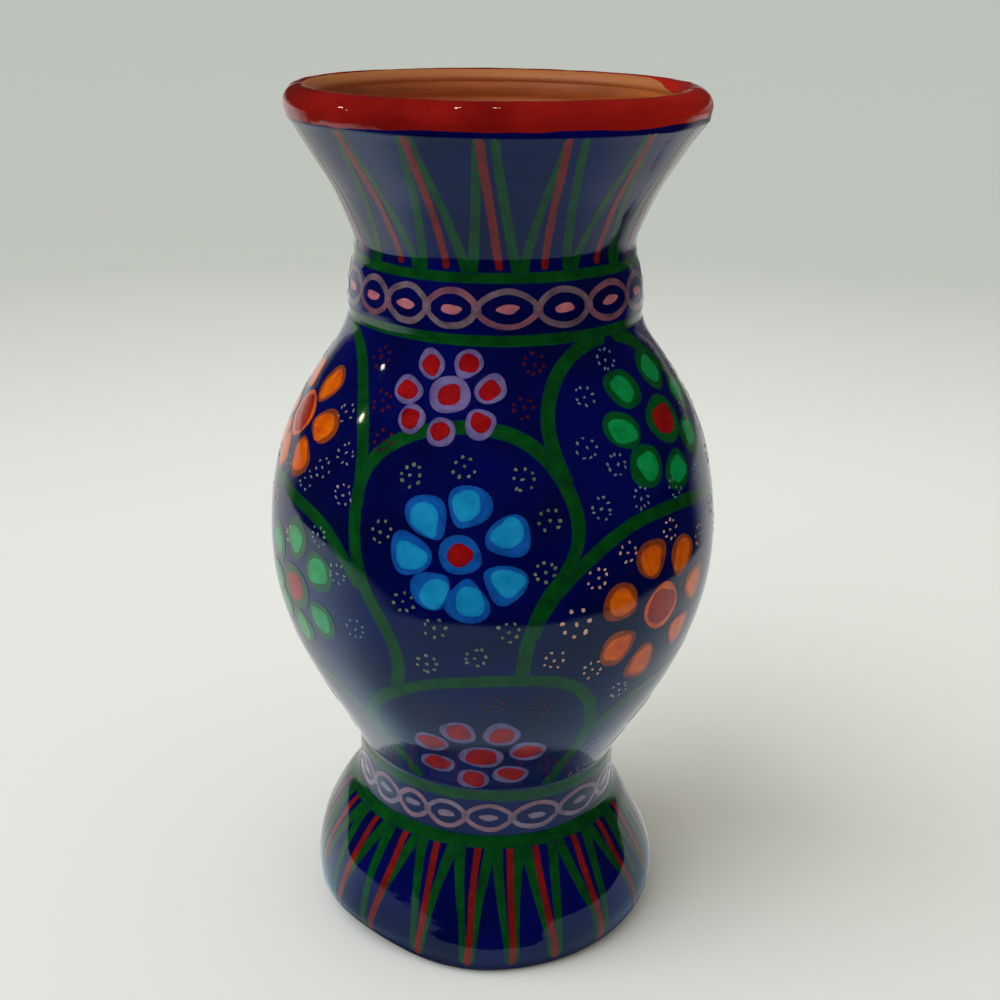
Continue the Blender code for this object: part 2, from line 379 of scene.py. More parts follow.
def outerWall():
    count = int(wallTop / wallStep) + 1
    raw = [widestAt(i * wallStep) for i in range(count)]
    near = rounding["seamReach"]
    widest = [max(raw[max(i - near, 0):i + near + 1]) for i in range(count)]
    kept = [i for i in range(count) if raw[i] > rounding["seamDip"] * widest[i]]
    radii = []
    for i in range(count):
        k = min(max(bisect_right(kept, i), 1), len(kept) - 1)
        a, b = kept[k - 1], kept[k]
        radii.append(raw[a] + (raw[b] - raw[a]) * min(max((i - a) / (b - a), 0), 1))
    smooth = list(radii)
    for i in range(rounding["bottomSteps"], count - rounding["topSteps"]):
        wide = rounding["wideFrom"] < i * wallStep < rounding["wideTo"]
        reach = rounding["wideReach" if wide else "reach"]
        smooth[i] = max(radii[i], sum(radii[i - reach:i + reach + 1]) / (2 * reach + 1))
    slipLow = min(height for radius, height in outlines["rim_slip"])
    bridgeHollow(smooth, slipLow - rounding["underRim"], wallTop - mm)
    return smooth


wallRadii = outerWall()
wallRun = [0.0]  # length along the wall up to each height
for low, high in zip(wallRadii, wallRadii[1:]):
    wallRun.append(wallRun[-1] + hypot(high - low, wallStep))


def lookUp(table, height):
    place = min(max(height / wallStep, 0), len(table) - 1.001)
    i = int(place)
    return table[i] + (table[i + 1] - table[i]) * (place - i)


def wallAt(height):
    i = min(max(int(height / wallStep), 1), len(wallRadii) - 3)
    return lookUp(wallRadii, height), (wallRadii[i + 2] - wallRadii[i - 1]) / (3 * wallStep)


def runAt(height):
    return lookUp(wallRun, height)


def heightAt(run):
    i = min(max(bisect_right(wallRun, run) - 1, 0), len(wallRun) - 2)
    return (i + (run - wallRun[i]) / (wallRun[i + 1] - wallRun[i])) * wallStep


# What the potter's hands did to the perfect form. A mark comes in over the heights in up and goes out over
# those in down, in mm, and where it has an angle it fades out over its reach in degrees

thrown = dict(
    wobble=dict(push=0.3 * mm, up=(0, 12), around=1.1, length=45 * mm),  # how far the wall is from round
    flank=dict(push=0.65 * mm, up=(8, 24), down=(30, 44)),  # the foot's waist is fuller
    swells=[
        dict(push=-0.4 * mm, up=(208, 216), down=(230, 236)),  # a narrower flare
        dict(push=-0.5 * mm, up=(33, 38), down=(48, 54)),  # the lower strap was pressed in
        dict(push=-0.5 * mm, up=(32, 37.5), down=(38.3, 42)),  # most of all along its lower edge
        dict(push=0.9 * mm, up=(135, 158), down=(168, 182), at=80, reach=70),  # the belly is fuller here
        dict(push=0.7 * mm, up=(226, 233), at=90, reach=80),  # and so is the rim
        dict(push=-3.4 * mm, down=(0, 10.5), at=-44, reach=46),  # the foot was pressed flat here
    ],
    openings=[
        dict(low=0.2013, slope=0.33, fall=6 * mm),  # the neck opens at once above its ledge
        dict(low=0.0553, slope=0.2, fall=5 * mm),  # and so does the body
    ],
    flare=dict(low=0.222, high=0.2324, top=0.2350, radius=0.0540),  # straight up to the bead, then upright
    front=dict(at=-5, reach=52, edge=1.6, lean=0.345, top=0.041, toe=0.010, curl=1.5),  # scraped straight
    shifts=[  # sections luted on to the left
        dict(push=1.25 * mm, down=(20, 120)),
        dict(push=0.6 * mm, up=(8, 24), down=(30, 44)),
        dict(push=0.35 * mm, up=(185, 205)),
    ],
    tilt=dict(turn=2.26, up=(2, 30), down=(60, 110)),  # degrees, down to the right
)


def over(z, mark):
    begun = softStep(*mark["up"], z / mm) if "up" in mark else 1
    ended = softStep(*mark["down"], z / mm) if "down" in mark else 0
    return begun * (1 - ended)


def nearAngle(angle, mark):
    if "at" not in mark:
        return 1
    apart = abs((degrees(angle) - mark["at"] + 180) % 360 - 180)
    return 1 - softStep(0, mark["reach"], apart)


def handMade(point):
    # moves a point of the perfect vase to where the potter's hands left it
    z = point.z
    angle = atan2(point.x, -point.y)
    wobble, flank, tilt = thrown["wobble"], thrown["flank"], thrown["tilt"]
    front, flare = thrown["front"], thrown["flare"]
    around = Vector((cos(angle), sin(angle), 0)) * wobble["around"]
    push = wobble["push"] * noise(around + Vector((0, 0, z / wobble["length"]))) * over(z, wobble)
    scraped = min(1, front["edge"] * nearAngle(angle, front))
    push += flank["push"] * over(z, flank) * (1 - scraped)
    for swell in thrown["swells"]:
        push += swell["push"] * over(z, swell) * nearAngle(angle, swell)
    for opening in thrown["openings"]:
        above = max(z - opening["low"], 0)
        push += opening["slope"] * above * exp(-above / opening["fall"])
    if flare["low"] < z < flare["top"]:
        end = flare["low" if z < flare["high"] else "top"]
        share = (z - end) / (flare["high"] - end)
        push += wallAt(end)[0] * (1 - share) + flare["radius"] * share - wallAt(z)[0]
    if z < front["top"]:
        level = max(z, front["toe"])
        straight = wallAt(front["top"])[0] + front["lean"] * (front["top"] - level)
        push += scraped * (straight - wallAt(level)[0]) * min(max(z, 0) / front["toe"], 1) ** front["curl"]
    shift = sum(move["push"] * over(z, move) for move in thrown["shifts"])
    x = point.x + push * sin(angle) - shift
    drop = tan(radians(tilt["turn"])) * over(z, tilt)
    return Vector((x, point.y - push * cos(angle), z - x * drop))


def moveByHand(piece):
    for vert in piece.data.vertices:
        vert.co = handMade(vert.co)


def turnOutline(name, outline, steps, material):
    # a point is drawn along the outline and the line is spun round the axis
    pickNothing()
    bpy.ops.mesh.primitive_plane_add(size=mm, location=(0, 0, 0))
    piece = bpy.context.object
    piece.name = piece.data.name = name
    bpy.ops.object.mode_set(mode="EDIT")
    bpy.ops.mesh.merge(type="CENTER")
    corners = [Vector((radius, 0, height)) for radius, height in outline]
    bpy.ops.transform.translate(value=corners[0])
    for here, there in zip(corners, corners[1:]):
        bpy.ops.mesh.extrude_region_move(TRANSFORM_OT_translate={"value": there - here})
    bpy.ops.mesh.select_all(action="SELECT")
    bpy.ops.mesh.spin(steps=steps, angle=2 * pi, center=(0, 0, 0), axis=(0, 0, 1))
    bpy.ops.mesh.select_all(action="SELECT")
    bpy.ops.mesh.remove_doubles(threshold=1e-6)
    bpy.ops.mesh.normals_make_consistent(inside=False)
    bpy.ops.object.mode_set(mode="OBJECT")
    while piece.data.uv_layers:
        piece.data.uv_layers.remove(piece.data.uv_layers[0])
    piece.data.materials.append(material)
    return piece


smoothAngle = 38


def keepPiece(piece, node=None):
    pickOnly(piece)
    bpy.ops.object.shade_smooth_by_angle(angle=radians(smoothAngle))
    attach(piece, "root")
    if node:
        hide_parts(node)


# Clay and slip, turned finely from the frame's own sections

clayForm = dict(
    steps=160,
    slipSteps=96,
    ringDepth=0.18 * mm,  # finger rings left by throwing, inside only
    ringPitch=5.5 * mm,
    ringClear=3 * mm,  # further in than this from the outside
    ringShare=0.6, ringPatch=60,  # deeper and shallower by patches
    ringFade=4 * mm,  # none by the axis
)
smear = dict(
    low=0.2276, high=0.2350,  # inside, the coil was smeared down on to the neck between these heights
    radius=0.0450,  # at the upper one
    lean=0.05,
    crestClear=0.2 * mm,  # up to here from the line of the crest
    groove=0.7 * mm,  # left under the lip by the fingernail
    grooveAt=0.2367,
    grooveWidth=0.7 * mm,
)


def pressRings(piece):
    for vert in piece.data.vertices:
        radius = hypot(vert.co.x, vert.co.y)
        if mm < radius < wallAt(vert.co.z)[0] - clayForm["ringClear"]:
            angle = atan2(vert.co.x, -vert.co.y)
            wave = sin(2 * pi * vert.co.z / clayForm["ringPitch"] + angle)
            wave *= clayForm["ringShare"] + noise(vert.co * clayForm["ringPatch"])
            push = clayForm["ringDepth"] * wave * softStep(0, clayForm["ringFade"], radius) / radius
            vert.co.x *= 1 + push
            vert.co.y *= 1 + push


def smearInside(piece):
    for vert in piece.data.vertices:
        radius, z = hypot(vert.co.x, vert.co.y), vert.co.z
        if radius > rimCrest - smear["crestClear"] or z < smear["low"]:
            continue
        inner = radius
        if z < smear["high"]:
            inner = min(radius, smear["radius"] - smear["lean"] * (smear["high"] - z))
        inner += smear["groove"] * exp(-((z - smear["grooveAt"]) / smear["grooveWidth"]) ** 2)
        vert.co.x *= inner / radius
        vert.co.y *= inner / radius


def makeClay(nodeName, section, ending, steps, look):
    onAxis = section[0][0] == 0
    piece = turnOutline(nodeName + ending, section if onAxis else section + section[:1], steps, look)
    if nodeName in ("body", "neck"):
        pressRings(piece)
    smearInside(piece)
    moveByHand(piece)
    keepPiece(piece, nodeName)


for nodeName in clayNodes:
    makeClay(nodeName, claySections[nodeName], "_clay", clayForm["steps"], clayLook)
for nodeName in slipNodes:
    makeClay(nodeName, outlines[nodeName], "_layer", clayForm["slipSteps"], slipLook)
print("clay turned:", len(clayNodes), "sections,", len(slipNodes), "slip layers")


# Ground coat and rim coat

coat = dict(
    steps=200,
    spacing=1.2 * mm,
    seamSpacing=0.4 * mm,  # closer rows where the wall turns in at a seam
    seamReach=3 * mm,
    thickness=0.15 * mm,  # paint and varnish together
    sunk=0.25 * mm,  # how far its inner face lies in the clay
    bottom=0.3 * mm,
    top=0.2350,
)


def coatHeights():
    seams = [min(height for radius, height in outlines[name]) for name in slipNodes]
    run, last = runAt(coat["bottom"]), runAt(coat["top"])
    heights = []
    while run < last:
        heights.append(heightAt(run))
        nearest = min(abs(heights[-1] - seam) for seam in seams)
        run += coat["seamSpacing"] if nearest < coat["seamReach"] else coat["spacing"]
    return heights + [coat["top"]]


def makeGroundCoat():
    outside, inside = [], []
    for i, height in enumerate(coatHeights()):
        radius, slope = wallAt(height)
        lean = hypot(1, slope)
        outside.append((radius + coat["thickness"] / lean, height - coat["thickness"] * slope / lean))
        if i % 3 == 0 or height == coat["top"]:
            inside.append((radius - coat["sunk"], height))
    outline = outside + inside[::-1] + outside[:1]
    piece = turnOutline("ground_coat", outline, coat["steps"], groundLook)
    moveByHand(piece)
    keepPiece(piece)


lip = dict(
    lowAngle=-21, highAngle=94,  # the red runs from under the bead's widest line up to its crest
    lowWander=7, highWander=9,  # how far its two edges stray, in degrees round the bead
    lowWaves=[(1, 2.6, (0, 0, 0)), (0.5, 8, (5, 0, 0))],  # share, fineness and place of each wave
    highWaves=[(1, 3, (0, 7, 0)), (0.6, 11, (0, 0, 9))],
    rows=36,
    steps=300,
    thickness=0.28 * mm,
    edge=0.1, edgeRise=7,  # thin at both edges
    lump=0.16 * mm, lumpWaves=8, lumpTurn=40, lumpRise=5,
    sunk=0.05 * mm,
    overGround=0.12 * mm, overRise=6,  # how far it stands off the ground coat
    wide=dict(at=97, reach=34, extra=55),  # at the right the brush went over the crest
    sag=dict(at=-60, reach=60, extra=-16),  # at the left it ran down a little
)


def makeRimCoat():
    low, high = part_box("rim")
    halfWidth = high.x - rimCrest
    centre = [p for p in outlines["rim"] if abs(p[0] - high.x) < 0.05 * mm][0][1]
    halfHeight = high.z - centre
    span = lip["highAngle"] - lip["lowAngle"]

    def beadPoint(turn, grow):
        return rimCrest + (halfWidth + grow) * cos(turn), centre + (halfHeight + grow) * sin(turn)

    outside, inside = [], []
    for i in range(lip["rows"] + 1):
        t = i / lip["rows"]
        turn = radians(lip["lowAngle"] + span * t)
        film = lip["thickness"] * min(1, lip["edge"] + lip["edgeRise"] * min(t, 1 - t))
        outside.append(beadPoint(turn, film))
        inside.append(beadPoint(turn, -lip["sunk"]))
    piece = turnOutline("rim_coat", outside + inside[::-1] + outside[:1], lip["steps"], rimLook)
    for vert in piece.data.vertices:
        # both edges wander round the bead, and the film is thick and thin in turn
        angle = atan2(vert.co.x, -vert.co.y)
        around = Vector((cos(angle), sin(angle), 0))
        across = (hypot(vert.co.x, vert.co.y) - rimCrest, vert.co.z - centre)
        turn = degrees(atan2(across[1] / halfHeight, across[0] / halfWidth))
        t = (turn - lip["lowAngle"]) / span
        lowEdge, highEdge = (
            sum(share * noise(around * fine + Vector(place)) for share, fine, place in lip[waves])
            for waves in ("lowWaves", "highWaves"))
        bent = turn + (1 - t) * lip["lowWander"] * lowEdge + t * lip["highWander"] * highEdge
        bent += t * lip["wide"]["extra"] * nearAngle(angle, lip["wide"])
        bent += (1 - t) * lip["sag"]["extra"] * nearAngle(angle, lip["sag"])
        grow = hypot(*across) - hypot(halfWidth * cos(radians(turn)), halfHeight * sin(radians(turn)))
        outer = grow > 0
        if outer:
            lump = noise(around * lip["lumpWaves"] + Vector((0, 0, bent / lip["lumpTurn"])))
            grow += lip["lump"] * min(1, lip["lumpRise"] * min(t, 1 - t)) * lump
        radius, vert.co.z = beadPoint(radians(bent), grow)
        if outer and grow > 0 and bent < 0:
            film = coat["thickness"] + lip["overGround"] * min(1, lip["overRise"] * max(t, 0))
            radius = max(radius, wallAt(vert.co.z)[0] + film)
        vert.co.x, vert.co.y = radius * sin(angle), -radius * cos(angle)
    moveByHand(piece)
    keepPiece(piece)


makeGroundCoat()
makeRimCoat()
print("coats brushed on")


# Patterns that are drawn once, flat, and then laid on the wall

def takePattern():
    bpy.ops.object.mode_set(mode="OBJECT")
    piece = bpy.context.object
    points = [(v.co.x, v.co.y) for v in piece.data.vertices]
    faces = [tuple(p.vertices) for p in piece.data.polygons]
    bpy.data.objects.remove(piece)
    return points, faces


def drawDab(sides, rings):
    # a round touch of the brush, one unit in radius, with rings of faces so that it can follow the wall
    pickNothing()
    bpy.ops.mesh.primitive_circle_add(vertices=sides, radius=1, fill_type="NGON")
    bpy.ops.object.mode_set(mode="EDIT")
    for inset in rings:
        bpy.ops.mesh.inset(thickness=inset)
    bpy.ops.mesh.poke()
    return takePattern()


def drawRibbon(parts):
    # a stroke of the brush, from -1 to 1 along and across
    pickNothing()
    bpy.ops.mesh.primitive_grid_add(x_subdivisions=parts, y_subdivisions=6, size=2)
    bpy.ops.object.mode_set(mode="EDIT")
    return takePattern()


dabPattern = drawDab(28, (0.12, 0.26, 0.28))
fleckPattern = drawDab(9, (0.35,))
ribbonPatterns = {parts: drawRibbon(parts) for parts in (30, 90, 240)}
dabShape = dict(ahead=0.12, narrow=0.45)  # how far pinch moves a touch on, and draws its end in
strokeShape = dict(
    points=300,  # along the smooth line
    crowd=0.8,  # rows crowd towards the round ends
    least=0.02,  # of the width that is left there, squared
    waves=9 * mm, across=0.4,  # length of the unevenness, and how far its two edges differ
)
paintLift = 0.018 * mm  # one layer of paint over the ground
filmDepth = 0.09 * mm  # down into the ground coat


def newCanvas():
    return dict(points=[], faces=[], paint=[], brush=[], edge=[])


def onWall(angle, height, lift):
    radius, slope = wallAt(height)
    lean = hypot(1, slope)
    off = coat["thickness"] + lift
    out = radius + off / lean
    turn = radians(angle)
    return handMade(Vector((out * sin(turn), -out * cos(turn), height - off * slope / lean)))


def layFaces(canvas, faces, paint):
    base = len(canvas["points"])
    canvas["faces"] += [tuple(base + i for i in face) for face in faces]
    canvas["paint"] += [paint] * len(faces)


def layDab(canvas, pattern, at, size, paint, layer, turn=0, pinch=0.0, rough=0.04, offset=(0, 0)):
    # at is (angle, height in mm), size is (length, width) in mm with length along turn, and pinch draws
    # the end at -length to a point
    angle, height = at
    points, faces = pattern
    layFaces(canvas, faces, paint)
    phases = [dice.uniform(0, 2 * pi) for k in range(3)]
    swing = pointing(turn)
    middle = runAt(height * mm)
    grain = dice.uniform(0, 500)
    for x, y in points:
        rho, phi = hypot(x, y), atan2(y, x)
        grow = 1 + rough * sum(cos((k + 2) * phi + phases[k]) for k in range(3))
        long = (x * grow + dabShape["ahead"] * pinch) * size[0] / 2
        wide = y * grow * size[1] / 2 * (1 + pinch * dabShape["narrow"] * x)
        dx = offset[0] + long * swing.x - wide * swing.y
        dy = offset[1] + long * swing.y + wide * swing.x
        z = heightAt(middle + dy * mm)
        around = degrees(dx * mm / wallAt(z)[0])
        canvas["points"].append(onWall(angle + around, z, layer * paintLift))
        canvas["brush"].append((long + grain, wide))
        canvas["edge"].append(rho)


def layStroke(canvas, path, width, paint, layer, parts=90, ends=True, taper=(1, 1), uneven=0.10):
    # path is a list of (angle, height in mm) that a smooth line passes through, width is in mm
    points, faces = ribbonPatterns[parts]
    layFaces(canvas, faces, paint)
    fine = throughPoints(path, strokeShape["points"])
    along = [0.0]
    for a, b in zip(fine, fine[1:]):
        radius = wallAt((a.y + b.y) / 2 * mm)[0]
        step = Vector((radius * radians(b.x - a.x), runAt(b.y * mm) - runAt(a.y * mm)))
        along.append(along[-1] + step.length)
    total = along[-1]
    grain = dice.uniform(0, 500)
    for x, y in points:
        u = (x + 1) / 2
        if ends:
            u -= strokeShape["crowd"] * sin(2 * pi * u) / (2 * pi)
        reach = u * total
        i = min(max(bisect_right(along, reach) - 1, 0), len(fine) - 2)
        t = (reach - along[i]) / max(along[i + 1] - along[i], 1e-9)
        spot = fine[i].lerp(fine[i + 1], t)
        ahead, back = fine[min(i + 3, len(fine) - 1)], fine[max(i - 2, 0)]
        radius, slope = wallAt(spot.y * mm)
        climb = (ahead.y - back.y) * mm * hypot(1, slope)
        heading = Vector((radius * radians(ahead.x - back.x), climb)).normalized()
        half = width / 2 * (taper[0] + (taper[1] - taper[0]) * u)
        half *= 1 + uneven * noise(Vector((reach / strokeShape["waves"], grain, y * strokeShape["across"])))
        if ends:
            nearEnd = min(reach, total - reach) / mm / max(half, 0.01)
            half *= sqrt(max(1 - (1 - min(nearEnd, 1)) ** 2, strokeShape["least"]))
        dx, dy = -heading.y * y * half, heading.x * y * half
        height = heightAt(runAt(spot.y * mm) + dy * mm)
        turned = spot.x + degrees(dx * mm / radius)
        canvas["points"].append(onWall(turned, height, layer * paintLift))
        canvas["brush"].append((reach / mm + grain, y * half))
        canvas["edge"].append(abs(y))


def finishPainting(name, canvas, looks):
    mesh = bpy.data.meshes.new(name)
    mesh.from_pydata(canvas["points"], [], canvas["faces"])
    for look in looks:
        mesh.materials.append(paints[look])
    mesh.polygons.foreach_set("material_index", canvas["paint"])
    brush = mesh.uv_layers.new(name="brush")
    for loop in mesh.loops:
        brush.data[loop.index].uv = canvas["brush"][loop.vertex_index]
    edge = mesh.attributes.new("edge", "FLOAT", "POINT")
    edge.data.foreach_set("value", canvas["edge"])
    piece = bpy.data.objects.new(name, mesh)
    bpy.context.scene.collection.objects.link(piece)
    pickOnly(piece)
    film = piece.modifiers.new("film", "SOLIDIFY")
    film.thickness = filmDepth
    film.offset = -1
    bpy.ops.object.modifier_apply(modifier=film.name)
    keepPiece(piece)
    print(name, "painted:", len(piece.data.polygons), "faces")


# Green outlines of the belly's cells: three equal repeats round the vase, over four low cells

repeat = 120
arches = dict(
    balloon=[(-24.5, 94), (-22.8, 101), (-23.5, 108), (-26.5, 115), (-30.5, 122), (-33.3, 130), (-34.7, 139),
             (-35, 147), (-33, 153.5), (-28, 158.3), (-20, 161.8), (-10, 163.3), (0, 163), (8, 160.8),
             (14, 156.5), (18, 150.5), (20.3, 144), (20.3, 137), (17, 129.5), (12.2, 122.5), (9.5, 115.5),
             (8, 108), (7.5, 101)],
    upperRight=[(44, 181.5), (34, 180.3), (26, 177.2), (20, 172.8), (16.3, 167.5), (15.4, 162), (16.8, 156),
                (19, 150)],
    upperLeft=[(-72, 181.5), (-64, 179.6), (-55, 175.5), (-47.5, 170), (-41.5, 163.5), (-37.3, 156.5),
               (-35.2, 149), (-34.8, 141)],
    sideArch=[(9, 112), (11.5, 119), (15.5, 125), (21.5, 131), (28.5, 135.8), (36.5, 138.9), (45, 139.8),
              (54, 139.6), (63, 138.2), (71.5, 136.5), (78, 133.5), (83.5, 128), (88.5, 122)],
)
lowCells = dict(
    front=[(-28.5, 55), (-31.5, 62), (-34.8, 69), (-36.8, 76), (-34.8, 83), (-30, 88.5), (-24, 93),
           (-16, 97), (-6, 99.3), (4, 100.2), (13, 99.5), (20.5, 96.8), (26, 91.5), (29, 85), (30.6, 77.5),
           (29.8, 69.5), (27.8, 62), (25.5, 54.5)],
    side=[(30.5, 74), (34, 80.5), (39.5, 85.3), (46.5, 88), (54, 89.6), (64, 91), (79, 91.6), (94, 91),
          (104, 89.6), (111.5, 88), (118.5, 85.3), (124, 80.5), (127, 74)],
    sideTurns=(0, 98, 196),  # the front cell is the narrow one of the four
    legs=[[(127.5, 102), (127.8, 88), (127, 72), (125, 55)], [(225, 76), (225.5, 65), (226, 55)],
          [(95.5, 96), (95, 90)], [(215.5, 96), (214.5, 86)], [(247.5, 102), (248, 88)]],
)
outlineWidth = 3.75


def paintArches():
    canvas = newCanvas()
    paths = [lowCells["front"]] + lowCells["legs"]
    turned = [(turn, lowCells["side"]) for turn in lowCells["sideTurns"]]
    turned += [(k * repeat, path) for k in range(3) for path in arches.values()]
    for turn, path in turned:
        paths.append([(angle + turn, height) for angle, height in path])
    for i, path in enumerate(paths):
        layStroke(canvas, path, outlineWidth, paint=0, layer=1 + 0.5 * (i % 4))
    finishPainting("cell_outlines", canvas, ["leaf_green"])


# Flowers: seven petals round a centre, each a dark touch with a lighter one on it

# sizes are along the petal and across it, pinch draws its inner end in, and coreAt moves the lighter touch
# outwards and anticlockwise
flowerKinds = dict(
    blue=dict(petal="sea_blue", core="sky_blue", eye="sea_blue", heart="crimson",
              petalSize=(11.2, 10.3), coreSize=(8.4, 7.0), eyeSize=(10.6, 10.0), heartSize=(6.2, 6.0),
              pinch=0.75, coreAt=(0.3, 0.8)),
    small=dict(petal="lilac", core="crimson", eye="lilac", heart="crimson",
               petalSize=(7.9, 7.2), coreSize=(5.4, 4.9), eyeSize=(10.4, 10.0), heartSize=(5.9, 5.7),
               pinch=0.15, coreAt=(0, 0)),
    lilac=dict(petal="lilac", core="crimson", eye="lilac", heart="crimson",
               petalSize=(10.4, 9.3), coreSize=(7.6, 6.5), eyeSize=(11.8, 11.4), heartSize=(9.0, 8.6),
               pinch=0.15, coreAt=(0, 0)),
    green=dict(petal="bottle_green", core="emerald", eye="bottle_green", heart="crimson",
               petalSize=(11.4, 10.8), coreSize=(7.8, 7.1), eyeSize=(14.0, 13.0), heartSize=(9.0, 8.2),
               pinch=0.2, coreAt=(0, 0.2)),
    orange=dict(petal="rust", core="apricot", eye="apricot", heart="brick",
                petalSize=(11.2, 10.0), coreSize=(8.8, 7.4), eyeSize=(13.4, 12.6), heartSize=(10.8, 10.0),
                pinch=0.5, coreAt=(0, 0)),
)
flowerParts = ("petal", "core", "eye", "heart")
flowerHand = dict(petal=(0.95, 1.05), core=(0.92, 1.06), turn=(-12, 12), aside=(-0.35, 0.35))
flowerPieces = dict(blue_flowers=["blue"], lilac_flowers=["small", "lilac"], green_flowers=["green"],
                    orange_flowers=["orange"])
# kind, angle, height, then each petal's direction and its distance from the centre in mm
flowers = [
    ("small", -14, 170,
     [(128, 9.2), (66, 8.8), (11, 10), (-39, 11), (-94, 9.5), (-141, 11.2), (180, 10.9)]),
    ("blue", -7.4, 134.7,
     [(82, 11.3), (22, 11.8), (-32, 12.4), (-80, 11.4), (-126, 11.1), (-175, 11.8), (135, 11.3)]),
    ("lilac", -2, 70,
     [(118, 12.9), (66, 12.7), (161, 14.4), (208, 13.4), (14, 12.6), (-50, 12.0), (-101, 12.5)]),
    ("green", 56, 160,
     [(131, 13.9), (69, 14.0), (178, 15.7), (217, 15.9), (264, 13.6), (325, 12.5), (15, 15.5)]),
    ("orange", 45, 114,
     [(107, 14.5), (55, 14.0), (161, 15.0), (210, 15.7), (254, 15.6), (314, 14.0), (6, 15.3)]),
    ("orange", -70, 157,
     [(59, 11.8), (2, 13.7), (-47, 13.0), (-108, 11.9), (133, 12.9), (185, 13.5), (220, 13.0)]),
    ("green", -56.5, 114,
     [(85, 13.9), (34, 13.8), (-27, 12.8), (-87, 11.8), (-138, 12.8), (190, 13.2), (141, 14.0)]),
    ("lilac", 79, 66,
     [(100, 12.3), (52, 12.8), (151, 12.9), (204, 12.4), (3, 13.0), (-50, 12.0), (-100, 12.0)]),
]
# kind and angle of those on the back, which take the petals of their like in front
unseenFlowers = [("small", 106.5), ("blue", 113), ("small", 226.5), ("blue", 233), ("green", 177),
                 ("orange", 165), ("lilac", 177), ("lilac", -84)]


def layFlower(canvas, looks, kind, angle, height, petals):
    form = flowerKinds[kind]
    at = (angle, height)
    number = {part: looks.index(form[part]) for part in flowerParts}
    for i, (direction, distance) in enumerate(petals):
        layer = 3 + 0.5 * (i % 3)
        way = pointing(direction)
        far = way * distance
        size = [s * dice.uniform(*flowerHand["petal"]) for s in form["petalSize"]]
        inner = [s * dice.uniform(*flowerHand["core"]) for s in form["coreSize"]]
        turn = direction + dice.uniform(*flowerHand["turn"])
        layDab(canvas, dabPattern, at, size, number["petal"], layer, turn, form["pinch"],
               rough=0.028, offset=far)
        away, aside = (move + dice.uniform(*flowerHand["aside"]) for move in form["coreAt"])
        off = far + way * away + Vector((-way.y, way.x)) * aside
        layDab(canvas, dabPattern, at, inner, number["core"], layer + 1.5, turn, form["pinch"] * 0.8,
               rough=0.045, offset=off)
    layDab(canvas, dabPattern, at, form["eyeSize"], number["eye"], layer=5, rough=0.025)
    layDab(canvas, dabPattern, at, form["heartSize"], number["heart"], layer=6, turn=20)


def paintFlowers():
    every = list(flowers)
    for kind, angle in unseenFlowers:
        like = next(f for f in flowers if f[0] == kind)
        every.append((kind, angle, like[2], like[3]))
    for name, kinds in flowerPieces.items():
        looks = list(dict.fromkeys(flowerKinds[kind][part] for kind in kinds for part in flowerParts))
        canvas = newCanvas()
        for kind, angle, height, petals in every:
            if kind in kinds:
                layFlower(canvas, looks, kind, angle, height, petals)
        finishPainting(name, canvas, looks)


# Rings of tiny touches that fill the ground between the flowers

touches = dict(  # size of a touch in mm, and how many ring the middle one
    olive=((1.05, 0.95), (7, 8)),
    maroon=((1.2, 1.0), (7, 8)),
    pale_mint=((1.0, 0.68), (8, 9)),
    peach=((0.95, 0.75), (7, 8, 9)),
    stone=((1.0, 0.65), (7, 8, 9)),
    lilac=((1.7, 0.9), (7, 8)),
)
ringRadius = 2.6
ringHand = dict(middle=(-0.3, 0.3), turn=(-14, 14), radius=(0.85, 1.12), size=(0.72, 1.15))
sprinkles = dict(  # angle and height of each ring, and how much larger it is than its like
    olive=[(-21, 152), (-7.5, 155), (7.5, 152.5), (13.5, 143), (12, 130.5), (-27, 138), (-20.5, 121),
           (-13, 115), (4, 115), (-3.5, 107.5), (-15, 104)],
    maroon=[(13.5, 177), (9, 167.5), (-36, 166.5), (-43, 175.5), (-31, 158.5), (-15.5, 88), (1, 92),
            (13.5, 91), (22, 65)],
    pale_mint=[(42, 176), (29, 169), (25.5, 158), (33.5, 153.5), (27, 144), (39, 144.5), (52, 144),
               (65, 144), (-39, 124), (-34, 110), (-46, 132)],
    peach=[(25, 127), (20, 115.5, 1.5), (15, 106), (25.5, 101), (33.5, 132), (48, 134), (36, 91),
           (62, 128)],
    stone=[(-42, 153.5), (-49, 148.5), (-39.5, 144), (-48, 162)],
    lilac=[(37, 69), (40, 57)],
)


def layRing(canvas, at, grow, look, number):
    touch, counts = touches[look]
    count = dice.choice(counts)
    start = dice.uniform(0, 360)
    spots = [[dice.uniform(*ringHand["middle"]) for axis in range(2)]]
    for i in range(count):
        way = pointing(start + 360 * i / count + dice.uniform(*ringHand["turn"]))
        spots.append(way * grow * ringRadius * dice.uniform(*ringHand["radius"]))
    for spot in spots:
        size = [grow * s * dice.uniform(*ringHand["size"]) for s in touch]
        turn = dice.uniform(0, 180)
        layDab(canvas, fleckPattern, at, size, number, layer=3.5, turn=turn, rough=0.06, offset=spot)


def paintSprinkles():
    looks = list(sprinkles)
    canvas = newCanvas()
    for number, look in enumerate(looks):
        for k in range(3):
            for angle, height, *larger in sprinkles[look]:
                layRing(canvas, (angle + k * repeat, height), larger[0] if larger else 1, look, number)
    finishPainting("dot_rings", canvas, looks)


# Collars: a chain of links between green lines

